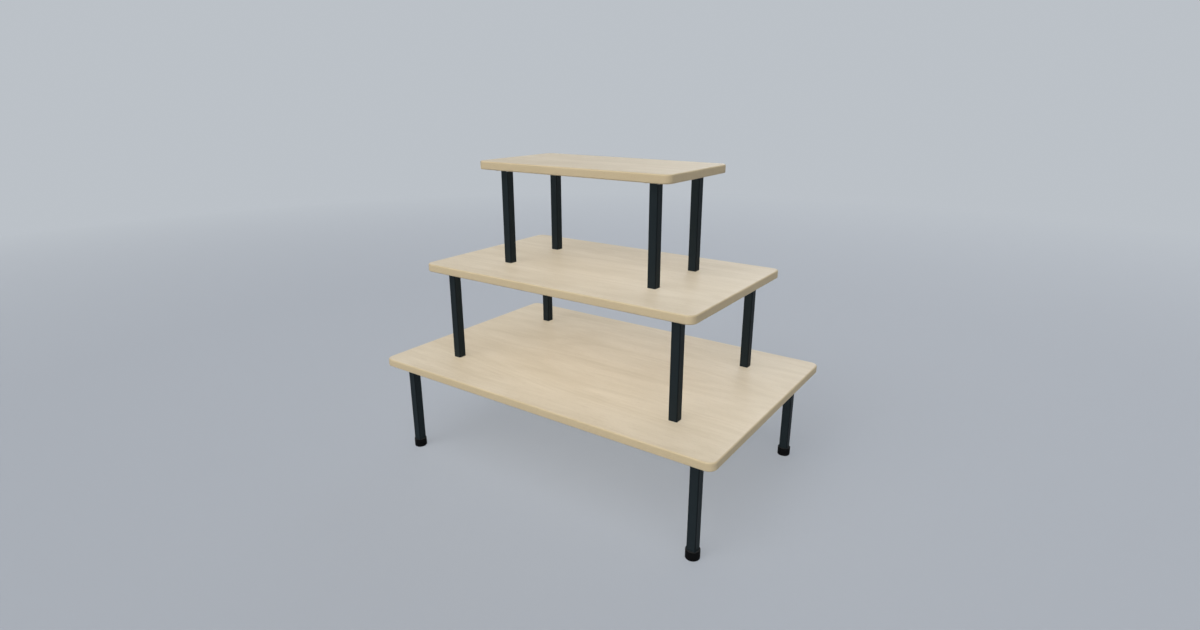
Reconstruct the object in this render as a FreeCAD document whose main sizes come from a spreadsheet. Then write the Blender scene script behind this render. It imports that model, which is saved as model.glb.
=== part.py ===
import FreeCAD, Part
import math
import os
import Sketcher

# Three-tier display table: three wooden boards with rounded edges, each on four square posts.
# Millimetres. The origin is on the floor under the table's centre, +X along the long side, +Z up.
# Each post is a steel tube with a mounting plate welded to its top, under the board it carries.
# The legs of the bottom tier stand in rubber ferrules. The posts of the two upper tiers stand on
# the board below, and a bolt from under that board turns into a threaded insert in each of them.

SIZES = [
    ("bottom_length", 1220.0, "long side of the bottom board"),
    ("bottom_depth", 790.0, "short side of the bottom board"),
    ("middle_length", 976.0, "long side of the middle board"),
    ("middle_depth", 590.0, "short side of the middle board"),
    ("top_length", 686.0, "long side of the top board"),
    ("top_depth", 360.0, "short side of the top board"),
    ("board_thickness", 26.0, "thickness of every board"),
    ("board_corner_radius", 25.0, "corner radius of a board seen from above"),
    ("board_edge_radius", 5.0, "rounding along the upper edge of a board"),
    ("board_edge_bevel", 2.5, "bevel along the lower edge of a board"),
    ("clear_height", 300.0, "free height under a board, from the seat of its posts"),
    ("post_inset_x", 71.5, "end of a board to the axis of its posts"),
    ("post_inset_y", 58.0, "long side of a board to the axis of its posts"),
    ("tube_side", 28.0, "outer width of the square tube"),
    ("tube_wall", 2.0, "wall of the square tube"),
    ("tube_corner_radius", 3.5, "outer corner radius of the square tube"),
    ("plate_side", 60.0, "width of a mounting plate"),
    ("plate_thickness", 3.0, "thickness of a mounting plate"),
    ("plate_corner", 6.0, "cropped corner of a mounting plate"),
    ("insert_length", 25.0, "length of a threaded insert"),
    ("insert_play", 0.1, "gap between an insert and the tube around it"),
    ("bolt_shank", 8.0, "diameter of a bolt's shank"),
    ("bolt_length", 45.0, "length of a bolt under its head"),
    ("bolt_head_across", 13.0, "width across the flats of a bolt's head"),
    ("bolt_head_height", 5.3, "height of a bolt's head"),
    ("bolt_thread_play", 0.1, "radial play of a bolt in the bore of an insert"),
    ("bolt_hole_play", 0.5, "radial play of a bolt in a board"),
    ("foot_across", 41.0, "outer diameter of a rubber foot"),
    ("foot_height", 28.0, "height of a rubber foot"),
    ("foot_sole", 6.0, "rubber between the end of a leg and the floor"),
    ("foot_bevel", 2.0, "bevel of a foot's bottom rim"),
    ("foot_play", 0.1, "gap between a leg and the socket of its foot"),
]

TIERS = ("bottom", "middle", "top")
POST_NAMES = {"bottom": "leg", "middle": "middle_post", "top": "top_post"}
CORNERS = {
    "front_left": (-1, -1),
    "front_right": (1, -1),
    "back_left": (-1, 1),
    "back_right": (1, 1),
}

# Sizes that follow from the sheet, as expressions on its cells.
TUBE_LENGTH = "(Sizes.clear_height - Sizes.plate_thickness)"
TUBE_BORE = "(Sizes.tube_side - 2 * Sizes.tube_wall)"
INSERT_SIDE = f"({TUBE_BORE} - 2 * Sizes.insert_play)"
INSERT_BORE = "(Sizes.bolt_shank + 2 * Sizes.bolt_thread_play)"
BOARD_PASSAGE = "(Sizes.bolt_shank + 2 * Sizes.bolt_hole_play)"
SOCKET_SIDE = "(Sizes.tube_side + 2 * Sizes.foot_play)"

ORIGIN = (-1, 1)
QUARTER_TURN = math.pi / 2
LEVEL_TOLERANCE = 1e-4

doc = FreeCAD.newDocument("TieredDisplayTable")
sheet = doc.addObject("Spreadsheet::Sheet", "Sizes")
for row, (alias, number, meaning) in enumerate(SIZES, start=1):
    sheet.set(f"A{row}", meaning)
    sheet.set(f"B{row}", str(number))
    sheet.setAlias(f"B{row}", alias)
doc.recompute()


def number_of(expression):
    """Present value of an expression on the sheet's cells."""
    return float(sheet.evalExpression(expression))


def underside(tier):
    """Height of the underside of a tier's board above the floor."""
    boards_below = TIERS.index(tier)
    lowest = "Sizes.foot_sole + Sizes.clear_height"
    return f"({lowest} + {boards_below} * (Sizes.clear_height + Sizes.board_thickness))"


def seat(tier):
    """Height at which the lower ends of a tier's posts stand."""
    return f"({underside(tier)} - Sizes.clear_height)"


def post_x(tier):
    """Distance of a tier's post axes from the middle, along the long side."""
    return f"(Sizes.{tier}_length / 2 - Sizes.post_inset_x)"


def post_y(tier):
    """Distance of a tier's post axes from the middle, along the short side."""
    return f"(Sizes.{tier}_depth / 2 - Sizes.post_inset_y)"


def new_body(label, x="0", y="0", z="0"):
    """A body whose own origin stands at the given place in the table."""
    body = doc.addObject("PartDesign::Body", label)
    body.Label = label
    body.setExpression("Placement.Base.x", x)
    body.setExpression("Placement.Base.y", y)
    body.setExpression("Placement.Base.z", z)
    return body


def origin_feature(body, role):
    """A plane or axis of the body's own origin."""
    return next(item for item in body.Origin.OriginFeatures if item.Role == role)


def new_sketch(body, name, x="0", y="0", height="0"):
    """A level sketch whose own origin stands at the given place in the body."""
    sketch = body.newObject("Sketcher::SketchObject", name)
    sketch.AttachmentSupport = [(origin_feature(body, "XY_Plane"), "")]
    sketch.MapMode = "FlatFace"
    sketch.setExpression("AttachmentOffset.Base.x", x)
    sketch.setExpression("AttachmentOffset.Base.y", y)
    sketch.setExpression("AttachmentOffset.Base.z", height)
    return sketch


def bind(sketch, constraint, name, expression):
    """Name a driving constraint and tie it to an expression."""
    index = sketch.addConstraint(constraint)
    sketch.renameConstraint(index, name)
    sketch.setExpression(f"Constraints.{name}", expression)


def join_ends(sketch, kind, curves):
    """Join a closed row of curves end to start, as Coincident or Tangent."""
    for place, curve in enumerate(curves):
        following = curves[(place + 1) % len(curves)]
        sketch.addConstraint(Sketcher.Constraint(kind, curve, 2, following, 1))


def add_circle(sketch, name, diameter):
    """A circle about the sketch's origin."""
    radius = number_of(diameter) / 2
    shape = Part.Circle(FreeCAD.Vector(0, 0, 0), FreeCAD.Vector(0, 0, 1), radius)
    circle = sketch.addGeometry(shape, False)
    sketch.addConstraint(Sketcher.Constraint("Coincident", circle, 3, *ORIGIN))
    bind(sketch, Sketcher.Constraint("Diameter", circle, 2 * radius), f"{name}_diameter", diameter)


def add_square(sketch, name, side):
    """A square about the sketch's origin."""
    half = number_of(side) / 2
    corners = [FreeCAD.Vector(x * half, y * half, 0) for x, y in ((-1, -1), (1, -1), (1, 1), (-1, 1))]
    lines = []
    for start, end in zip(corners, corners[1:] + corners[:1]):
        lines.append(sketch.addGeometry(Part.LineSegment(start, end), False))
    join_ends(sketch, "Coincident", lines)
    for level in (lines[0], lines[2]):
        sketch.addConstraint(Sketcher.Constraint("Horizontal", level))
    for upright in (lines[1], lines[3]):
        sketch.addConstraint(Sketcher.Constraint("Vertical", upright))
    sketch.addConstraint(Sketcher.Constraint("Symmetric", lines[0], 1, lines[2], 1, *ORIGIN))
    sketch.addConstraint(Sketcher.Constraint("Equal", lines[0], lines[1]))
    bind(sketch, Sketcher.Constraint("Distance", lines[0], 2 * half), f"{name}_side", side)


def add_rounded_rectangle(sketch, name, length, depth, radius):
    """A rectangle about the sketch's origin with round corners."""
    half_x = number_of(length) / 2
    half_y = number_of(depth) / 2
    corner = number_of(radius)
    curves = []
    for turn, (side_x, side_y) in enumerate(((1, -1), (1, 1), (-1, 1), (-1, -1)), start=-1):
        centre = FreeCAD.Vector(side_x * (half_x - corner), side_y * (half_y - corner), 0)
        circle = Part.Circle(centre, FreeCAD.Vector(0, 0, 1), corner)
        curves.append(Part.ArcOfCircle(circle, turn * QUARTER_TURN, (turn + 1) * QUARTER_TURN))
    arcs = [sketch.addGeometry(curve, False) for curve in curves]
    lines = []
    for place, curve in enumerate(curves):
        following = curves[(place + 1) % len(curves)]
        side = Part.LineSegment(curve.EndPoint, following.StartPoint)
        lines.append(sketch.addGeometry(side, False))
    outline = [curve for pair in zip(arcs, lines) for curve in pair]
    join_ends(sketch, "Tangent", outline)
    for other in arcs[1:]:
        sketch.addConstraint(Sketcher.Constraint("Equal", arcs[0], other))
    sketch.addConstraint(Sketcher.Constraint("Vertical", lines[0]))
    sketch.addConstraint(Sketcher.Constraint("Horizontal", lines[1]))
    sketch.addConstraint(Sketcher.Constraint("Symmetric", arcs[0], 3, arcs[2], 3, *ORIGIN))
    bind(sketch, Sketcher.Constraint("Radius", arcs[0], corner), f"{name}_radius", radius)
    across = Sketcher.Constraint("DistanceX", lines[2], 1, lines[0], 1, 2 * half_x)
    bind(sketch, across, f"{name}_length", length)
    along = Sketcher.Constraint("DistanceY", lines[3], 1, lines[1], 1, 2 * half_y)
    bind(sketch, along, f"{name}_depth", depth)


def pad(body, sketch, name, length):
    """Material upwards from a level sketch."""
    feature = body.newObject("PartDesign::Pad", name)
    feature.Profile = sketch
    feature.setExpression("Length", length)
    doc.recompute()
    return feature


def pocket(body, sketch, name, depth):
    """A cut upwards from a level sketch."""
    before = body.Shape.Volume
    feature = body.newObject("PartDesign::Pocket", name)
    feature.Profile = sketch
    feature.Reversed = True
    feature.setExpression("Length", depth)
    doc.recompute()
    if feature.Shape.Volume >= before:
        raise RuntimeError(f"{name} cuts nothing")
    return feature


def dress(body, kind, base, name, edges, measure, size):
    """A Fillet or Chamfer on edges of the base feature."""
    feature = body.newObject(f"PartDesign::{kind}", name)
    feature.Base = (base, edges)
    feature.setExpression(measure, size)
    doc.recompute()
    return feature


def level_edges(shape, height):
    """Names of the edges that lie in the level plane at this height."""
    names = []
    for number, edge in enumerate(shape.Edges, start=1):
        box = edge.BoundBox
        if max(abs(box.ZMin - height), abs(box.ZMax - height)) < LEVEL_TOLERANCE:
            names.append(f"Edge{number}")
    return names


def upright_edges(shape):
    """Names of the edges that stand upright."""
    names = []
    for number, edge in enumerate(shape.Edges, start=1):
        box = edge.BoundBox
        if max(box.XLength, box.YLength) < LEVEL_TOLERANCE < box.ZLength:
            names.append(f"Edge{number}")
    return names


def mirror_both_ways(body, features, name):
    """Four of the features, mirrored in the body's two upright planes."""
    pattern = body.newObject("PartDesign::MultiTransform", name)
    pattern.Originals = features
    mirrors = []
    for plane in ("YZ_Plane", "XZ_Plane"):
        mirror = body.newObject("PartDesign::Mirrored", f"{name}_{plane}")
        mirror.MirrorPlane = (origin_feature(body, plane), [""])
        mirrors.append(mirror)
    pattern.Transformations = mirrors
    body.Tip = pattern
    doc.recompute()
    return pattern


def make_board(tier):
    """Wooden board, with a hole under each of the posts that stand on it."""
    label = f"board_{tier}"
    body = new_body(label, z=underside(tier))
    outline = new_sketch(body, f"{label}_outline")
    add_rounded_rectangle(outline, "board", f"Sizes.{tier}_length", f"Sizes.{tier}_depth",
                          "Sizes.board_corner_radius")
    slab = pad(body, outline, f"{label}_slab", "Sizes.board_thickness")
    upper_edge = level_edges(slab.Shape, number_of("Sizes.board_thickness"))
    rounded = dress(body, "Fillet", slab, f"{label}_upper_edge", upper_edge,
                    "Radius", "Sizes.board_edge_radius")
    dress(body, "Chamfer", rounded, f"{label}_lower_edge", level_edges(rounded.Shape, 0),
          "Size", "Sizes.board_edge_bevel")
    if tier != TIERS[-1]:
        above = TIERS[TIERS.index(tier) + 1]
        passage = new_sketch(body, f"{label}_passage", post_x(above), post_y(above))
        add_circle(passage, "passage", BOARD_PASSAGE)
        hole = pocket(body, passage, f"{label}_bolt_hole", "Sizes.board_thickness")
        mirror_both_ways(body, [hole], f"{label}_bolt_holes")
    return body


def make_post(tier, corner):
    """Square tube, open at both ends."""
    label = f"{POST_NAMES[tier]}_{corner}"
    side_x, side_y = CORNERS[corner]
    body = new_body(label, f"{side_x} * {post_x(tier)}", f"{side_y} * {post_y(tier)}", seat(tier))
    section = new_sketch(body, f"{label}_section")
    add_rounded_rectangle(section, "outside", "Sizes.tube_side", "Sizes.tube_side",
                          "Sizes.tube_corner_radius")
    add_square(section, "inside", TUBE_BORE)
    pad(body, section, f"{label}_tube", TUBE_LENGTH)
    return body


def make_plate(tier, corner):
    """Square mounting plate with cropped corners, on the top of a post."""
    label = f"{POST_NAMES[tier]}_plate_{corner}"
    side_x, side_y = CORNERS[corner]
    body = new_body(label, f"{side_x} * {post_x(tier)}", f"{side_y} * {post_y(tier)}",
                    f"{underside(tier)} - Sizes.plate_thickness")
    outline = new_sketch(body, f"{label}_outline")
    add_square(outline, "plate", "Sizes.plate_side")
    blank = pad(body, outline, f"{label}_blank", "Sizes.plate_thickness")
    dress(body, "Chamfer", blank, f"{label}_corners", upright_edges(blank.Shape),
          "Size", "Sizes.plate_corner")
    return body


def make_inserts(tier):
    """Threaded inserts, one flush in the lower end of each post of the tier."""
    label = f"threaded_inserts_{tier}"
    body = new_body(label, z=seat(tier))
    section = new_sketch(body, f"{label}_section", post_x(tier), post_y(tier))
    add_square(section, "plug", INSERT_SIDE)
    add_circle(section, "bore", INSERT_BORE)
    plug = pad(body, section, f"{label}_plug", "Sizes.insert_length")
    mirror_both_ways(body, [plug], f"{label}_set")
    return body


def make_bolts(tier):
    """Hexagon bolts, up through the board below into the inserts of the tier's posts."""
    label = f"post_bolts_{tier}"
    board_under = f"({seat(tier)} - Sizes.board_thickness)"
    body = new_body(label, z=board_under)
    head = body.newObject("PartDesign::AdditivePrism", f"{label}_head")
    head.AttachmentSupport = [(origin_feature(body, "XY_Plane"), "")]
    head.MapMode = "FlatFace"
    head.setExpression("AttachmentOffset.Base.x", post_x(tier))
    head.setExpression("AttachmentOffset.Base.y", post_y(tier))
    head.setExpression("AttachmentOffset.Base.z", "-Sizes.bolt_head_height")
    head.Polygon = 6
    head.setExpression("Circumradius", "Sizes.bolt_head_across / (2 * cos(30 deg))")
    head.setExpression("Height", "Sizes.bolt_head_height")
    doc.recompute()
    section = new_sketch(body, f"{label}_section", post_x(tier), post_y(tier))
    add_circle(section, "shank", "Sizes.bolt_shank")
    shank = pad(body, section, f"{label}_shank", "Sizes.bolt_length")
    mirror_both_ways(body, [head, shank], f"{label}_set")
    return body


def make_foot(corner):
    """Round rubber ferrule with a square socket for the end of a leg."""
    label = f"foot_{corner}"
    side_x, side_y = CORNERS[corner]
    body = new_body(label, f"{side_x} * {post_x('bottom')}", f"{side_y} * {post_y('bottom')}")
    outline = new_sketch(body, f"{label}_outline")
    add_circle(outline, "foot", "Sizes.foot_across")
    blank = pad(body, outline, f"{label}_blank", "Sizes.foot_height")
    dress(body, "Chamfer", blank, f"{label}_rim", level_edges(blank.Shape, 0),
          "Size", "Sizes.foot_bevel")
    mouth = new_sketch(body, f"{label}_mouth", height="Sizes.foot_sole")
    add_square(mouth, "socket", SOCKET_SIDE)
    pocket(body, mouth, f"{label}_socket", "Sizes.foot_height - Sizes.foot_sole")
    return body


def check(bodies):
    """Stop if any object failed or any sub-part isn't sound."""
    doc.recompute()
    for item in doc.Objects:
        if "Invalid" in item.State or "Error" in item.State:
            raise RuntimeError(f"{item.Name} failed: {item.State}")
    for body in bodies:
        if body.Shape.isNull() or not body.Shape.isValid():
            raise RuntimeError(f"{body.Label} has no sound shape")
        expected = 4 if body.Label.startswith(("threaded_inserts", "post_bolts")) else 1
        if len(body.Shape.Solids) != expected:
            raise RuntimeError(f"{body.Label} has {len(body.Shape.Solids)} solids")


bodies = []
for tier in TIERS:
    bodies.append(make_board(tier))
    for corner in CORNERS:
        bodies.append(make_post(tier, corner))
        bodies.append(make_plate(tier, corner))
for tier in TIERS[1:]:
    bodies.append(make_inserts(tier))
    bodies.append(make_bolts(tier))
for corner in CORNERS:
    bodies.append(make_foot(corner))

check(bodies)
os.makedirs("parts", exist_ok=True)
for body in bodies:
    body.Shape.exportStep(f"parts/{body.Label}.step")
    print(body.Label, round(body.Shape.Volume, 1))
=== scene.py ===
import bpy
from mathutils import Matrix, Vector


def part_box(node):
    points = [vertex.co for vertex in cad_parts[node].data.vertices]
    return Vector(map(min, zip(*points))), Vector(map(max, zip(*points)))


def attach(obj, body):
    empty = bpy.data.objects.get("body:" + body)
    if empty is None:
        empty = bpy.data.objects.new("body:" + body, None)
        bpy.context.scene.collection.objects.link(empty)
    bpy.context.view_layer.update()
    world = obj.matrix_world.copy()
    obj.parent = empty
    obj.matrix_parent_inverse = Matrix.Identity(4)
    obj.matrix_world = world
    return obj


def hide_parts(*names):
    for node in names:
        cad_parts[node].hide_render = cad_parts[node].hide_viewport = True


bl_info = {
    "name": "Tiered display table",
    "version": (1, 0, 0),
    "blender": (4, 5, 0),
    "location": "3D View > Sidebar > Display Table",
    "description": "Boards, posts, feet and fasteners of a three-tier shop display table",
    "category": "Object",
}

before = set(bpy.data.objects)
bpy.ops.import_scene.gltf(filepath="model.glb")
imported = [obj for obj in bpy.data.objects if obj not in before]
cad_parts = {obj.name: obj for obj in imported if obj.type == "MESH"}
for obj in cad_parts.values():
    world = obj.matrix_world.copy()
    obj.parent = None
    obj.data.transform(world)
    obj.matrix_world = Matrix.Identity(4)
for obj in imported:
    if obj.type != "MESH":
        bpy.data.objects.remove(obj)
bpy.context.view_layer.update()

import math

import bmesh
import bpy
from bpy.props import FloatProperty, FloatVectorProperty, PointerProperty
from mathutils import Matrix, Vector

MM = 0.001
TIERS = ("bottom", "middle", "top")
POST_NAMES = {"bottom": "leg", "middle": "middle_post", "top": "top_post"}
CORNERS = {
    "front_left": (-1, -1),
    "front_right": (1, -1),
    "back_left": (-1, 1),
    "back_right": (1, 1),
}
ROOT = "root"
LEVEL_TOLERANCE = 0.01 * MM
LEVEL_NORMAL = 0.9  # least upright part of a level face's normal
SMOOTH_ANGLE = math.radians(35)
CUT_PAST = 1 * MM  # how far a cutting solid reaches past what it cuts
WELD_FUSED = 0.05 * MM  # how far a weld reaches into its tube
HEAD_OVERLAP = 0.2 * MM  # how far a bolt's hexagon reaches into its flange
SHANK_OVERLAP = 0.3 * MM  # how far a bolt's shank reaches into its flange

# Segments of a rounded edge. A flat bevel has one.
FLAT = 1
EASED_SEGMENTS = 2
TUBE_CORNER_SEGMENTS = 6
BOARD_CORNER_SEGMENTS = 12
BOARD_UPPER_SEGMENTS = 7
BOARD_LOWER_SEGMENTS = 6
WELD_SEGMENTS = 4
FOOT_RIM_SEGMENTS = 6
FOOT_LIP_SEGMENTS = 3
SCREW_SEGMENTS = 5
FLANGE_SEGMENTS = 3

# Sides of a round solid.
HOLE_SIDES = 32
FOOT_SIDES = 96
SCREW_SIDES = 32
HEXAGON_SIDES = 6
FLANGE_SIDES = 64
SHANK_SIDES = 32

# Shares of another size.
WELD_ROUNDING = 0.98  # of a weld's leg
SCREW_ROUNDING = 0.7  # of a screw head's height
RECESS_REACH = 0.27  # of a screw head's diameter
CROWN_WIDTH = 0.96  # of a bolt head's width across its flats
FLANGE_ROUNDING = 0.55  # of a flange's thickness

# Camera, with lens and sensor in millimetres, and its fall and turn in degrees.
LENS = 20.315
SENSOR = 36.0
CAMERA_PLACE = (1.2101, -1.7299, 1.1809)
CAMERA_FALL = 18.054
CAMERA_TURN = 34.9703

# Lamps, in degrees. Azimuth is 0 at the front and positive to the right.
KEY_LAMP = {"elevation": 38, "azimuth": -20, "spread": 40, "shadow": True}
FILL_LAMP = {"elevation": 53, "azimuth": 15, "spread": 60, "shadow": False}
BACK_LAMP = {"elevation": 22, "azimuth": 190, "spread": 34, "shadow": False}

# Floor and backdrop, in metres.
FLOOR_RADIUS = 9.0
FLOOR_SIDES = 96
BACKDROP_HEIGHT = 5.0
BACKDROP_CURVE = 2.5
BACKDROP_SEGMENTS = 12
HAZE_SCALE = 0.01  # from the square of a distance to the haze's own measure
HAZE_START = 0.06
HAZE_END = 0.42


# ---------------------------------------------------------------- settings

def length(name, description, default):
    """A size in metres that a user may change."""
    return FloatProperty(name=name, description=description, default=default, min=0, unit="LENGTH")


def colour(name, description, default):
    """A linear colour that a user may change."""
    return FloatVectorProperty(name=name, description=description, default=default,
                               min=0, max=1, size=3, subtype="COLOR")


class BoardSettings(bpy.types.PropertyGroup):
    """Sizes and colours of the boards"""
    corner_radius: length("Corner radius", "Rounding of a corner seen from above", 25 * MM)
    upper_edge: length("Upper edge", "Radius along the upper edge", 5 * MM)
    lower_edge: length("Lower edge", "Radius along the lower edge", 4 * MM)
    bolt_hole: length("Bolt hole", "Diameter of the holes for the post bolts", 9 * MM)
    pale_wood: colour("Pale wood", "Lightest tone of the wood", (0.738, 0.640, 0.488))
    deep_wood: colour("Deep wood", "Darkest tone of the grain", (0.552, 0.454, 0.308))
    # Edge colour: partly the deeper tone of the edge grain, partly painted shade on the sides and
    # the rounded arris.
    edge_tone_and_shade: colour("Edge wood", "Tone of the long and short edges", (0.590, 0.456, 0.256))
    streak_wood: colour("Streak wood", "Tone of the short streaks", (0.52, 0.40, 0.27))
    pore_wood: colour("Pore wood", "Tone of the finest pores", (0.30, 0.21, 0.11))


class PostSettings(bpy.types.PropertyGroup):
    """Sizes and colours of posts, plates and welds"""
    wall: length("Wall", "Wall of the square tube", 2 * MM)
    corner_radius: length("Corner radius", "Outer corner radius of the tube", 3.5 * MM)
    eased_end: length("Eased end", "Bevel on the ends of the tube", 0.4 * MM)
    plate_crop: length("Plate crop", "Cropped corner of a mounting plate", 6 * MM)
    plate_edge: length("Plate edge", "Bevel along the edges of a plate", 0.4 * MM)
    weld_leg: length("Weld leg", "Leg of the weld between tube and plate", 2.6 * MM)
    coat: colour("Coat", "Powder coat of posts and plates", (0.0155, 0.0215, 0.0242))
    # Painted shade: a darker tone along the tube's rounded corners, where the light falls off.
    corner_shade_coat: colour("Corner coat", "Tone along the rounded corners", (0.003, 0.0042, 0.0048))


class FootSettings(bpy.types.PropertyGroup):
    """Sizes and colours of the feet"""
    rim: length("Rim", "Radius of the bottom rim", 2.6 * MM)
    lip: length("Lip", "Radius of the top rim", 1.0 * MM)
    sole_rim: length("Sole rim", "Flat rim of the sole outside the groove", 5 * MM)
    groove_width: length("Groove width", "Width of the ring cut into the sole", 2 * MM)
    groove_depth: length("Groove depth", "Depth of the ring cut into the sole", 0.8 * MM)
    play: length("Play", "Gap between a leg and its socket, on each side", 0.1 * MM)
    rubber: colour("Rubber", "Colour of the feet", (0.0035, 0.0035, 0.0036))
    bloom: colour("Bloom", "Paler patches of the rubber", (0.009, 0.009, 0.009))
    # A lighter tone on the upward faces of each foot.
    upper_tone: colour("Dust", "Dust on the upper rim", (0.018, 0.0185, 0.0185))


class FastenerSettings(bpy.types.PropertyGroup):
    """Sizes and colours of screws, bolts and inserts"""
    screw_spread: length("Screw spread", "Post axis to a screw, along each side", 21 * MM)
    screw_head: length("Screw head", "Diameter of a screw's head", 8.4 * MM)
    screw_height: length("Screw height", "Height of a screw's head", 2.6 * MM)
    recess_width: length("Recess width", "Width of a screw's cross recess", 1 * MM)
    recess_depth: length("Recess depth", "Depth of a screw's cross recess", 1.3 * MM)
    bolt_across: length("Bolt across", "Width across the flats of a bolt's head", 13 * MM)
    bolt_height: length("Bolt height", "Height of a bolt's head with its flange", 5.3 * MM)
    bolt_flange: length("Bolt flange", "Diameter of the flange under a bolt's head", 17 * MM)
    flange_height: length("Flange height", "Thickness of that flange", 1.3 * MM)
    shank: length("Shank", "Diameter of a bolt's shank", 8 * MM)
    shank_point: length("Shank point", "Bevel on the end of a bolt's shank", 0.8 * MM)
    zinc: colour("Zinc", "Colour of screws and bolts", (0.60, 0.60, 0.58))
    dull_zinc: colour("Dull zinc", "Darker patches of screws and bolts", (0.42, 0.42, 0.39))
    nylon: colour("Nylon", "Colour of the threaded inserts", (0.02, 0.02, 0.02))
    pale_nylon: colour("Pale nylon", "Specks of the threaded inserts", (0.035, 0.035, 0.035))


class StageSettings(bpy.types.PropertyGroup):
    """Colours of the floor and light, and strengths of the lamps"""
    floor: colour("Floor", "Colour of floor and backdrop", (0.405, 0.43, 0.47))
    haze: colour("Haze", "Colour that the backdrop fades into", (0.50, 0.535, 0.575))
    sky: colour("Sky", "Colour of the light from all round", (0.94, 0.97, 1.0))
    sky_strength: FloatProperty(name="Sky strength", description="Light from all round",
                                default=0.12, min=0)
    key_strength: FloatProperty(name="Key strength", description="Light that casts the shadow",
                                default=0.42, min=0)
    fill_strength: FloatProperty(name="Fill strength", description="Light that casts no shadow",
                                 default=2.6, min=0)
    back_strength: FloatProperty(name="Back strength", description="Low light behind the table",
                                 default=1.12, min=0)
    back_tone: colour("Back tone", "Colour of the low light behind the table", (0.89, 0.945, 1.0))


class TableSettings(bpy.types.PropertyGroup):
    """All settings of the display table"""
    boards: PointerProperty(type=BoardSettings)
    posts: PointerProperty(type=PostSettings)
    feet: PointerProperty(type=FootSettings)
    fasteners: PointerProperty(type=FastenerSettings)
    stage: PointerProperty(type=StageSettings)


# ---------------------------------------------------------------- modelling

def pick_none():
    """Nothing selected, so that an operator acts on the next piece alone."""
    bpy.ops.object.select_all(action="DESELECT")


def pick_only(piece):
    """The piece selected and active, and nothing else."""
    pick_none()
    piece.select_set(True)
    bpy.context.view_layer.objects.active = piece


def settled(name):
    """The object just added, named, with its place and scale put into its mesh."""
    piece = bpy.context.object
    piece.name = name
    piece.data.name = name
    bpy.ops.object.transform_apply(location=True, rotation=True, scale=True)
    return piece


def add_block(name, low, high):
    """Block between its lowest and highest corners."""
    pick_none()
    bpy.ops.mesh.primitive_cube_add(size=1, location=(low + high) / 2, scale=high - low)
    return settled(name)


def add_round(name, centre, radius, bottom, top, sides):
    """Upright cylinder or prism between two heights."""
    pick_none()
    place = (centre.x, centre.y, (bottom + top) / 2)
    bpy.ops.mesh.primitive_cylinder_add(vertices=sides, radius=radius, depth=top - bottom,
                                        location=place)
    return settled(name)


def edit(piece):
    """Edit mode, on this piece alone."""
    pick_only(piece)
    bpy.ops.object.mode_set(mode="EDIT")


def done():
    """Back to object mode."""
    bpy.ops.object.mode_set(mode="OBJECT")


def pick(piece, kind, wanted):
    """In edit mode, select the EDGEs or FACEs that the test accepts."""
    bpy.ops.mesh.select_mode(type=kind)
    bpy.ops.mesh.select_all(action="DESELECT")
    mesh = bmesh.from_edit_mesh(piece.data)
    for part in mesh.edges if kind == "EDGE" else mesh.faces:
        part.select_set(wanted(part))
    bmesh.update_edit_mesh(piece.data)


def upright(edge):
    """Whether an edge stands upright."""
    start, end = (corner.co for corner in edge.verts)
    return (start - end).xy.length < LEVEL_TOLERANCE


def level_at(height):
    """Test for edges or faces that lie at this height."""
    def wanted(part):
        return all(abs(corner.co.z - height) < LEVEL_TOLERANCE for corner in part.verts)
    return wanted


def level_face(face):
    """Whether a face looks straight up or down."""
    return abs(face.normal.z) > LEVEL_NORMAL


def bevel(piece, wanted, radius, segments):
    """In edit mode, round the edges that the test accepts."""
    pick(piece, "EDGE", wanted)
    bpy.ops.mesh.bevel(offset=radius, segments=segments, affect="EDGES")


def round_off(piece, *cuts):
    """Round sets of edges in turn. Each cut is a test, a radius and its segments."""
    edit(piece)
    for cut in cuts:
        bevel(piece, *cut)
    done()


def apply_modifier(piece, kind, **settings):
    """Add one modifier with these settings and apply it."""
    pick_only(piece)
    modifier = piece.modifiers.new(kind.lower(), kind)
    for setting, value in settings.items():
        setattr(modifier, setting, value)
    bpy.ops.object.modifier_apply(modifier=modifier.name)


def combine(piece, tool, operation):
    """UNION, DIFFERENCE or INTERSECT with a second solid, which is used up."""
    apply_modifier(piece, "BOOLEAN", operation=operation, object=tool, solver="EXACT")
    bpy.data.objects.remove(tool)


def join(pieces, name):
    """Several pieces made one object."""
    pick_none()
    for piece in pieces:
        piece.select_set(True)
    bpy.context.view_layer.objects.active = pieces[0]
    bpy.ops.object.join()
    pieces[0].name = name
    return pieces[0]


def smooth(piece):
    """Smooth shading that keeps flat faces flat and sharp edges sharp."""
    pick_only(piece)
    bpy.ops.object.shade_smooth_by_angle(angle=SMOOTH_ANGLE)
    apply_modifier(piece, "WEIGHTED_NORMAL", keep_sharp=True)


def twin(piece, name, step):
    """Another piece of the same shape, with its own mesh, moved by a step."""
    copy = piece.copy()
    copy.data = piece.data.copy()
    copy.name = name
    copy.data.name = name
    copy.data.transform(Matrix.Translation(step))
    bpy.context.scene.collection.objects.link(copy)
    return copy


def finish_piece(piece, material, slot, *nodes):
    """Material and body of a piece, and the CAD nodes it stands for, which are hidden. The record
    slot is not used.
    """
    piece.data.materials.clear()
    piece.data.materials.append(material)
    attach(piece, ROOT)
    if nodes:
        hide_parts(*nodes)


def middle_of(node):
    """Middle of a CAD node's box."""
    low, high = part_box(node)
    return (low + high) / 2


def posts_of(tier):
    """Label, CAD node and axis point of each post of a tier."""
    for corner in CORNERS:
        node = f"{POST_NAMES[tier]}_{corner}"
        yield corner, node, middle_of(node)


def bolts_of(tier):
    """Label, lowest and highest point of the bolt under each post of a tier."""
    low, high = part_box(f"post_bolts_{tier}")
    for corner, _, axis in posts_of(tier):
        yield corner, Vector((axis.x, axis.y, low.z)), Vector((axis.x, axis.y, high.z))


# ---------------------------------------------------------------- materials

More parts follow.
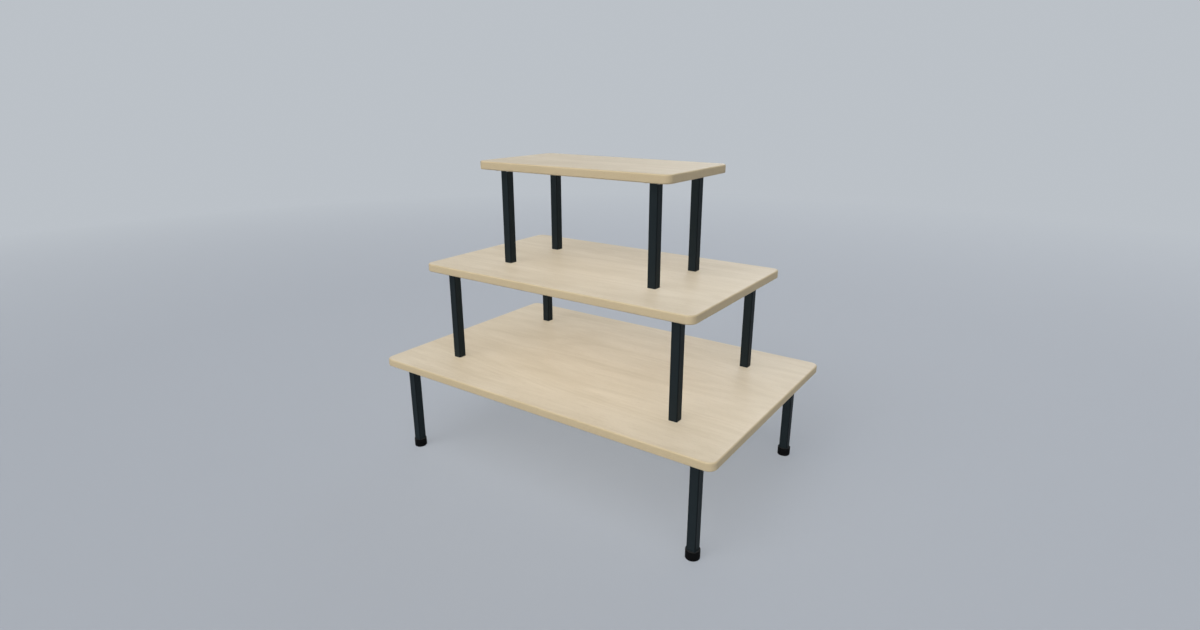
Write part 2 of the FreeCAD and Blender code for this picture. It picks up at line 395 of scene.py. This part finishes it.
class Value:
    """A node's output. Arithmetic on it adds Math nodes."""

    def __init__(self, bench, socket):
        self.bench = bench
        self.socket = socket

    def math(self, operation, first, second):
        """A Math node on two inputs."""
        return self.bench.node("ShaderNodeMath", {"operation": operation}, {0: first, 1: second})

    def __add__(self, other):
        return self.math("ADD", self, other)

    def __radd__(self, other):
        return self.math("ADD", other, self)

    def __sub__(self, other):
        return self.math("SUBTRACT", self, other)

    def __rsub__(self, other):
        return self.math("SUBTRACT", other, self)

    def __mul__(self, other):
        return self.math("MULTIPLY", self, other)

    def __rmul__(self, other):
        return self.math("MULTIPLY", other, self)


class Bench:
    """The node tree of one material."""

    def __init__(self, name):
        self.material = bpy.data.materials.new(name)
        self.material.use_nodes = True
        self.tree = self.material.node_tree
        self.tree.nodes.clear()

    def node(self, kind, settings, inputs, output=0):
        """A node with its settings, then its inputs as numbers or links. Gives one output."""
        made = self.tree.nodes.new(kind)
        for setting, value in settings.items():
            if setting == "stops":
                for stop, (place, shade) in zip(made.color_ramp.elements, value):
                    stop.position = place
                    stop.color = (shade, shade, shade, 1)
            else:
                setattr(made, setting, value)
        for socket, value in inputs.items():
            if isinstance(value, Value):
                self.tree.links.new(value.socket, made.inputs[socket])
            else:
                made.inputs[socket].default_value = value
        return Value(self, made.outputs[output]) if made.outputs else None

    def place(self):
        """A point of the piece, in metres."""
        return self.node("ShaderNodeTexCoord", {}, {}, "Object")

    def facing(self):
        """The direction that the surface faces."""
        return self.node("ShaderNodeTexCoord", {}, {}, "Normal")

    def part(self, vector, axis):
        """One coordinate of a point or direction."""
        return self.node("ShaderNodeSeparateXYZ", {}, {0: vector}, axis)

    def noise(self, point, scale, detail=2.0, roughness=0.5, output="Fac"):
        """Noise with so many patches per metre along each axis."""
        grid = self.node("ShaderNodeMapping", {}, {"Vector": point, "Scale": scale})
        return self.node("ShaderNodeTexNoise", {}, {
            "Vector": grid, "Scale": 1.0, "Detail": detail, "Roughness": roughness}, output)

    def ramp(self, value, low, high):
        """0 below low, 1 above high."""
        return self.node("ShaderNodeValToRGB", {"stops": ((low, 0), (high, 1))}, {"Fac": value})

    def blend(self, factor, first, second):
        """Colour between two colours."""
        return self.node("ShaderNodeMix", {"data_type": "RGBA"},
                         {0: factor, 6: first, 7: second}, 2)

    def bump(self, height, strength, distance):
        """The surface's direction, changed by a relief of this height."""
        return self.node("ShaderNodeBump", {}, {
            "Strength": strength, "Distance": distance, "Height": height})

    def surface(self, **inputs):
        """Principled shader with these inputs."""
        return self.node("ShaderNodeBsdfPrincipled", {},
                         {name.replace("_", " "): value for name, value in inputs.items()})

    def wire(self, surface):
        """The material, once this shader is wired to its output."""
        self.node("ShaderNodeOutputMaterial", {}, {"Surface": surface})
        return self.material

    def finish(self, **inputs):
        """The material, with a principled shader that has these inputs."""
        return self.wire(self.surface(**inputs))


def rgba(shade, share=1.0):
    """A colour setting as four numbers, made darker or lighter by a share."""
    return (*(share * part for part in shade), 1.0)


def wood_material(settings):
    """Pale lacquered wood with its grain along X, and deeper tones on its edges: partly the edge
    grain's own tone, partly painted shade over the rounded arris.
    """
    bench = Bench("board_wood")

    def layer(point, along, across, **noise):
        """Noise with so many patches per metre along the grain and across it."""
        return bench.noise(point, (along, across, across), **noise)

    point = bench.place()
    sway = layer(point, along=1.6, across=3.2, output="Color")
    swayed = bench.node("ShaderNodeVectorMath", {"operation": "MULTIPLY_ADD"},
                        {0: sway, 1: (0.0, 0.06, 0.06), 2: point})
    bands = layer(swayed, along=2.4, across=24.0, detail=4.0, roughness=0.55)
    contour = layer(swayed, along=0.8, across=5.0, detail=1.0)
    figure = bench.node("ShaderNodeMath", {"operation": "SINE"}, {0: contour * 110.0})
    fibre = layer(swayed, along=16.0, across=560.0, roughness=0.6)
    cloud = layer(point, along=3.5, across=7.0)
    streak = bench.ramp(layer(swayed, along=15.0, across=150.0, roughness=0.6),
                        low=0.58, high=0.78)
    pore = bench.ramp(layer(point, along=90.0, across=1300.0, detail=1.0), low=0.62, high=0.72)
    grain = bands * 0.75 + figure * 0.05 + fibre * 0.40 + cloud * 0.50 - 0.34
    flat = bench.blend(bench.ramp(grain, low=0.10, high=0.90), rgba(settings.pale_wood),
                       rgba(settings.deep_wood))
    lift = bench.part(bench.facing(), "Z")
    # Side faces and the rounded arris blend towards the edge colour: partly the edge grain's
    # deeper tone, partly painted shade that dulls the arris highlight.
    side = 1.0 - bench.ramp(lift * lift, low=0.40, high=0.97)
    edged = bench.blend(side * 0.75, flat, rgba(settings.edge_tone_and_shade))
    streaked = bench.blend(streak * 0.32, edged, rgba(settings.streak_wood))
    tint = bench.blend(pore * 0.22, streaked, rgba(settings.pore_wood))
    bumped = bench.bump(fibre * 0.7 - pore * 0.5, strength=0.5, distance=0.05 * MM)
    return bench.finish(Base_Color=tint, Roughness=0.55 + fibre * 0.12, Normal=bumped,
                        Coat_Weight=0.6 - side * 0.6, Coat_Roughness=0.45)


def coat_material(settings):
    """Satin powder coat with a fine orange peel, and a painted shade line where it rounds a
    corner.
    """
    bench = Bench("post_coat")
    point = bench.place()
    peel = bench.noise(point, (650.0, 650.0, 650.0), detail=1.0)
    patch = bench.noise(point, (30.0, 30.0, 12.0))
    tint = bench.blend(patch * 0.35, rgba(settings.coat), rgba(settings.coat, 1.5))
    facing = bench.facing()
    across, along = (bench.part(facing, axis) for axis in "XY")
    # Painted shade: the rounded corners, whose normals lie between X and Y, are darkened.
    corner = bench.ramp(across * across * along * along, low=0.02, high=0.20)
    edged = bench.blend(corner * 0.6, tint, rgba(settings.corner_shade_coat))
    bumped = bench.bump(peel, strength=0.4, distance=0.05 * MM)
    return bench.finish(Base_Color=edged, Roughness=0.42 + patch * 0.10, Normal=bumped,
                        Specular_IOR_Level=0.05)


def rubber_material(settings):
    """Matt black rubber with a faint bloom, lighter on its upward faces and upper rim."""
    bench = Bench("foot_rubber")
    point = bench.place()
    grit = bench.noise(point, (1400.0, 1400.0, 1400.0))
    bloom = bench.ramp(bench.noise(point, (60.0, 60.0, 25.0), detail=3.0), low=0.45, high=0.8)
    tint = bench.blend(bloom * 0.25, rgba(settings.rubber), rgba(settings.bloom))
    # Upward faces blend towards a lighter tone, speckled by the grit.
    top = bench.ramp(bench.part(bench.facing(), "Z"), low=0.3, high=0.95)
    upper_toned = bench.blend(top * (0.75 + grit * 0.4), tint, rgba(settings.upper_tone))
    bumped = bench.bump(grit, strength=0.5, distance=0.06 * MM)
    return bench.finish(Base_Color=upper_toned, Roughness=0.62 + bloom * 0.15, Normal=bumped,
                        Specular_IOR_Level=0.06)


def zinc_material(settings):
    """Zinc-plated steel, slightly mottled."""
    bench = Bench("fastener_steel")
    mottle = bench.noise(bench.place(), (420.0, 420.0, 420.0), detail=3.0)
    tint = bench.blend(mottle * 0.5, rgba(settings.zinc), rgba(settings.dull_zinc))
    return bench.finish(Base_Color=tint, Metallic=1.0, Roughness=0.26 + mottle * 0.2)


def nylon_material(settings):
    """Black moulded nylon."""
    bench = Bench("insert_nylon")
    speckle = bench.noise(bench.place(), (900.0, 900.0, 900.0))
    tint = bench.blend(speckle * 0.3, rgba(settings.nylon), rgba(settings.pale_nylon))
    return bench.finish(Base_Color=tint, Roughness=0.5 + speckle * 0.1)


# ---------------------------------------------------------------- pieces

def make_slab(name, low, high, settings):
    """Board with round corners and rounded upper and lower edges."""
    slab = add_block(name, low, high)
    round_off(slab, (upright, settings.corner_radius, BOARD_CORNER_SEGMENTS),
              (level_at(high.z), settings.upper_edge, BOARD_UPPER_SEGMENTS),
              (level_at(low.z), settings.lower_edge, BOARD_LOWER_SEGMENTS))
    return slab


class DISPLAYTABLE_OT_boards(bpy.types.Operator):
    """Make the three wooden boards"""
    bl_idname = "display_table.boards"
    bl_label = "Boards"

    def execute(self, context):
        settings = context.scene.display_table.boards
        wood = wood_material(settings)
        for tier, above in zip(TIERS, (*TIERS[1:], None)):
            node = f"board_{tier}"
            low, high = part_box(node)
            board = make_slab(f"wooden_board_{tier}", low, high, settings)
            if above:
                for _, _, axis in posts_of(above):
                    drill = add_round("drill", axis, settings.bolt_hole / 2,
                                      low.z - CUT_PAST, high.z + CUT_PAST, HOLE_SIDES)
                    combine(board, drill, "DIFFERENCE")
            smooth(board)
            finish_piece(board, wood, "board_wood", node)
        return {"FINISHED"}


def make_tube(name, low, high, settings):
    """Square tube with round corners, open at both ends."""
    tube = add_block(name, low, high)
    edit(tube)
    bevel(tube, upright, settings.corner_radius, TUBE_CORNER_SEGMENTS)
    pick(tube, "FACE", level_face)
    bpy.ops.mesh.inset(thickness=settings.wall)
    bpy.ops.mesh.bridge_edge_loops()
    for height in (low.z, high.z):
        bevel(tube, level_at(height), settings.eased_end, EASED_SEGMENTS)
    done()
    smooth(tube)
    return tube


def make_plate(name, low, high, settings):
    """Square steel plate with cropped corners."""
    plate = add_block(name, low, high)
    round_off(plate, (upright, settings.plate_crop, FLAT),
              (level_at(low.z), settings.plate_edge, EASED_SEGMENTS),
              (level_at(high.z), settings.plate_edge, EASED_SEGMENTS))
    smooth(plate)
    return plate


def make_weld(name, low, high, settings):
    """Weld bead around the top end of a tube, under its plate."""
    leg = Vector((settings.weld_leg, settings.weld_leg, 0))
    foot = Vector((low.x, low.y, high.z - settings.weld_leg))
    bead = add_block(name, foot - leg, high + leg)
    outer_radius = settings.corner_radius + settings.weld_leg
    round_off(bead, (upright, outer_radius, TUBE_CORNER_SEGMENTS),
              (level_at(foot.z), settings.weld_leg * WELD_ROUNDING, WELD_SEGMENTS))
    fused = Vector((WELD_FUSED, WELD_FUSED, -CUT_PAST))
    core = add_block("core", foot + fused, high - fused)
    round_off(core, (upright, settings.corner_radius, TUBE_CORNER_SEGMENTS))
    combine(bead, core, "DIFFERENCE")
    smooth(bead)
    return bead


class DISPLAYTABLE_OT_posts(bpy.types.Operator):
    """Make the twelve posts with their mounting plates and welds"""
    bl_idname = "display_table.posts"
    bl_label = "Posts"

    def execute(self, context):
        settings = context.scene.display_table.posts
        coat = coat_material(settings)
        first = f"{POST_NAMES['bottom']}_front_left"
        first_plate = f"{POST_NAMES['bottom']}_plate_front_left"
        start = middle_of(first)
        tube = make_tube("tube", *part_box(first), settings)
        plate = make_plate("plate", *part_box(first_plate), settings)
        weld = make_weld("weld", *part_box(first), settings)
        for tier in TIERS:
            stem = POST_NAMES[tier]
            for corner, node, axis in posts_of(tier):
                step = axis - start
                finish_piece(twin(tube, f"{stem}_tube_{corner}", step), coat, "post_coat", node)
                finish_piece(twin(plate, f"{stem}_top_plate_{corner}", step), coat, "post_coat",
                             f"{stem}_plate_{corner}")
                finish_piece(twin(weld, f"{stem}_weld_{corner}", step), coat, "post_coat")
        for pattern in (tube, plate, weld):
            bpy.data.objects.remove(pattern)
        return {"FINISHED"}


def make_ferrule(name, low, high, settings):
    """Round rubber foot with a grooved sole."""
    centre = (low + high) / 2
    radius = (high.x - low.x) / 2
    ferrule = add_round(name, centre, radius, low.z, high.z, FOOT_SIDES)
    edit(ferrule)
    bevel(ferrule, level_at(low.z), settings.rim, FOOT_RIM_SEGMENTS)
    bevel(ferrule, level_at(high.z), settings.lip, FOOT_LIP_SEGMENTS)
    pick(ferrule, "FACE", level_at(low.z))
    bpy.ops.mesh.inset(thickness=settings.sole_rim)
    bpy.ops.mesh.inset(thickness=settings.groove_width)
    outer = radius - settings.rim - settings.sole_rim
    middle = outer - settings.groove_width / 2

    def in_groove(face):
        reach = (face.calc_center_median() - centre).xy.length
        return level_at(low.z)(face) and abs(reach - middle) < settings.groove_width / 2

    pick(ferrule, "FACE", in_groove)
    deeper = {"value": (0, 0, settings.groove_depth)}
    bpy.ops.mesh.extrude_region_move(TRANSFORM_OT_translate=deeper)
    done()
    return ferrule


class DISPLAYTABLE_OT_feet(bpy.types.Operator):
    """Make the four rubber feet"""
    bl_idname = "display_table.feet"
    bl_label = "Feet"

    def execute(self, context):
        settings = context.scene.display_table.feet
        posts = context.scene.display_table.posts
        rubber = rubber_material(settings)
        low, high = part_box("foot_front_left")
        leg_low, leg_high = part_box("leg_front_left")
        ferrule = make_ferrule("ferrule", low, high, settings)
        play = Vector((settings.play, settings.play, 0))
        socket_high = Vector((leg_high.x, leg_high.y, high.z + CUT_PAST))
        socket = add_block("socket", leg_low - play, socket_high + play)
        round_off(socket, (upright, posts.corner_radius, TUBE_CORNER_SEGMENTS))
        combine(ferrule, socket, "DIFFERENCE")
        smooth(ferrule)
        start = middle_of("foot_front_left")
        for corner in CORNERS:
            node = f"foot_{corner}"
            step = middle_of(node) - start
            finish_piece(twin(ferrule, f"rubber_ferrule_{corner}", step), rubber, "foot_rubber",
                         node)
        bpy.data.objects.remove(ferrule)
        return {"FINISHED"}


def make_screw(name, place, settings):
    """Pan head of a wood screw, with a cross recess."""
    tip = place.z - settings.screw_height
    head = add_round(name, place, settings.screw_head / 2, tip, place.z, SCREW_SIDES)
    round_off(head, (level_at(tip), settings.screw_height * SCREW_ROUNDING, SCREW_SEGMENTS))
    reach = settings.screw_head * RECESS_REACH
    width = settings.recess_width / 2
    for along, across in ((reach, width), (width, reach)):
        half = Vector((along, across, 0))
        low = Vector((place.x, place.y, tip - CUT_PAST)) - half
        high = Vector((place.x, place.y, tip + settings.recess_depth)) + half
        combine(head, add_block("recess", low, high), "DIFFERENCE")
    smooth(head)
    return head


def make_bolt(name, low, high, settings):
    """Hexagon bolt with a flange, its head down and its shank up."""
    centre = (low + high) / 2
    seat = low.z + settings.bolt_height
    under = seat - settings.flange_height
    half_across = settings.bolt_across / 2
    corner = half_across / math.cos(math.pi / HEXAGON_SIDES)
    bolt = add_round(name, centre, corner, low.z, under + HEAD_OVERLAP, HEXAGON_SIDES)
    crown = add_round("crown", centre, corner, low.z, seat, FLANGE_SIDES)
    round_off(crown, (level_at(low.z), corner - half_across * CROWN_WIDTH, FLAT))
    combine(bolt, crown, "INTERSECT")
    flange = add_round("flange", centre, settings.bolt_flange / 2, under, seat, FLANGE_SIDES)
    flange_edge = settings.flange_height * FLANGE_ROUNDING
    round_off(flange, (level_at(under), flange_edge, FLANGE_SEGMENTS))
    combine(bolt, flange, "UNION")
    shank = add_round("shank", centre, settings.shank / 2, seat - SHANK_OVERLAP, high.z,
                      SHANK_SIDES)
    round_off(shank, (level_at(high.z), settings.shank_point, FLAT))
    combine(bolt, shank, "UNION")
    smooth(bolt)
    return bolt


class DISPLAYTABLE_OT_fasteners(bpy.types.Operator):
    """Make the screws of the mounting plates and the bolts of the posts"""
    bl_idname = "display_table.fasteners"
    bl_label = "Fasteners"

    def execute(self, context):
        settings = context.scene.display_table.fasteners
        zinc = zinc_material(settings)
        nylon = nylon_material(settings)
        under_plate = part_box("leg_plate_front_left")[0].z
        start = middle_of("leg_front_left")
        screw = make_screw("screw", Vector((start.x, start.y, under_plate)), settings)
        steps = [Vector((*sides, 0)) * settings.screw_spread for sides in CORNERS.values()]
        screws = join([twin(screw, "screw", step) for step in steps], "screws")
        for tier in TIERS:
            for corner, _, axis in posts_of(tier):
                name = f"{POST_NAMES[tier]}_screws_{corner}"
                finish_piece(twin(screws, name, axis - start), zinc, "fastener_steel")
        _, first_low, first_high = next(bolts_of(TIERS[1]))
        bolt = make_bolt("bolt", first_low, first_high, settings)
        for tier in TIERS[1:]:
            for corner, low, _ in bolts_of(tier):
                copy = twin(bolt, f"flange_bolt_{tier}_{corner}", low - first_low)
                finish_piece(copy, zinc, "fastener_steel", f"post_bolts_{tier}")
            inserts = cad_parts[f"threaded_inserts_{tier}"]
            inserts.material_slots[0].material = nylon
        for pattern in (screw, screws, bolt):
            bpy.data.objects.remove(pattern)
        return {"FINISHED"}


# ---------------------------------------------------------------- stage

class DISPLAYTABLE_OT_stage(bpy.types.Operator):
    """Set up the camera, the floor and the light"""
    bl_idname = "display_table.stage"
    bl_label = "Stage"

    def execute(self, context):
        settings = context.scene.display_table.stage
        scene = context.scene
        self.add_camera(scene)
        self.add_floor(settings)
        self.add_light(scene, settings)
        scene.view_settings.view_transform = "Standard"
        return {"FINISHED"}

    def add_camera(self, scene):
        """Camera that looks down at the table from its front right."""
        lens = bpy.data.cameras.new("camera")
        lens.lens = LENS
        lens.sensor_width = SENSOR
        camera = bpy.data.objects.new("camera", lens)
        scene.collection.objects.link(camera)
        camera.location = CAMERA_PLACE
        camera.rotation_euler = (math.radians(90 - CAMERA_FALL), 0, math.radians(CAMERA_TURN))
        scene.camera = camera

    def add_floor(self, settings):
        """Plain round floor whose rim curves up into a backdrop."""
        pick_none()
        bpy.ops.mesh.primitive_circle_add(vertices=FLOOR_SIDES, radius=FLOOR_RADIUS,
                                          fill_type="NGON")
        floor = settled("floor")
        edit(floor)
        pick(floor, "EDGE", lambda edge: edge.is_boundary)
        higher = {"value": (0, 0, BACKDROP_HEIGHT)}
        bpy.ops.mesh.extrude_region_move(TRANSFORM_OT_translate=higher)
        bevel(floor, level_at(0), BACKDROP_CURVE, BACKDROP_SEGMENTS)
        done()
        pick_only(floor)
        bpy.ops.object.shade_smooth_by_angle(angle=SMOOTH_ANGLE)
        floor.data.materials.append(self.floor_material(settings))

    def floor_material(self, settings):
        """Matt floor that fades with distance into a haze, seen directly, in gloss or through."""
        bench = Bench("floor")
        point = bench.place()
        soft = bench.noise(point, (0.4, 0.4, 0.4), detail=1.0)
        tint = bench.blend(soft * 0.2, rgba(settings.floor), rgba(settings.floor, 0.95))
        straight, mirrored, through = (
            bench.node("ShaderNodeLightPath", {}, {}, ray)
            for ray in ("Is Camera Ray", "Is Glossy Ray", "Is Transmission Ray"))
        across, along = (bench.part(point, axis) for axis in "XY")
        far = bench.ramp((across * across + along * along) * HAZE_SCALE,
                         low=HAZE_START, high=HAZE_END)
        surface = bench.surface(Base_Color=tint, Roughness=0.9)
        glow = bench.node("ShaderNodeEmission", {}, {"Color": rgba(settings.haze)})
        mixed = bench.node("ShaderNodeMixShader", {}, {
            0: far * (straight + mirrored + through), 1: surface, 2: glow})
        return bench.wire(mixed)

    def add_light(self, scene, settings):
        """Even light from all round and three distant soft lamps: front left, front and back."""
        world = bpy.data.worlds.new("studio")
        world.use_nodes = True
        sky = world.node_tree.nodes["Background"]
        sky.inputs["Color"].default_value = rgba(settings.sky)
        sky.inputs["Strength"].default_value = settings.sky_strength
        scene.world = world
        self.add_sun("key_lamp", settings.key_strength, **KEY_LAMP)
        self.add_sun("fill_lamp", settings.fill_strength, **FILL_LAMP)
        back = self.add_sun("back_lamp", settings.back_strength, **BACK_LAMP)
        back.color = settings.back_tone

    def add_sun(self, name, strength, elevation, azimuth, spread, shadow):
        """Distant soft lamp, with its angles in degrees."""
        lamp = bpy.data.lights.new(name, "SUN")
        lamp.energy = strength
        lamp.angle = math.radians(spread)
        lamp.use_shadow = shadow
        sun = bpy.data.objects.new(name, lamp)
        sun.rotation_euler = (math.radians(90 - elevation), 0, math.radians(azimuth))
        bpy.context.scene.collection.objects.link(sun)
        return lamp


class DISPLAYTABLE_PT_panel(bpy.types.Panel):
    """Sizes, colours and steps of the display table"""
    bl_idname = "DISPLAYTABLE_PT_panel"
    bl_label = "Display Table"
    bl_space_type = "VIEW_3D"
    bl_region_type = "UI"
    bl_category = "Display Table"

    def draw(self, context):
        table = context.scene.display_table
        for group, operator in STEPS:
            box = self.layout.box()
            settings = getattr(table, group)
            for name in settings.__annotations__:
                box.prop(settings, name)
            box.operator(operator.bl_idname)


STEPS = (
    ("stage", DISPLAYTABLE_OT_stage),
    ("boards", DISPLAYTABLE_OT_boards),
    ("posts", DISPLAYTABLE_OT_posts),
    ("feet", DISPLAYTABLE_OT_feet),
    ("fasteners", DISPLAYTABLE_OT_fasteners),
)
CLASSES = (
    BoardSettings,
    PostSettings,
    FootSettings,
    FastenerSettings,
    StageSettings,
    TableSettings,
    *(operator for _, operator in STEPS),
    DISPLAYTABLE_PT_panel,
)


def register():
    """Add the classes, and the settings to every scene."""
    for item in CLASSES:
        bpy.utils.register_class(item)
    bpy.types.Scene.display_table = PointerProperty(type=TableSettings)


def unregister():
    """Take the settings and the classes away again."""
    del bpy.types.Scene.display_table
    for item in reversed(CLASSES):
        bpy.utils.unregister_class(item)


def main():
    register()
    for group, _ in STEPS:
        getattr(bpy.ops.display_table, group)()


if __name__ == "__main__":
    main()
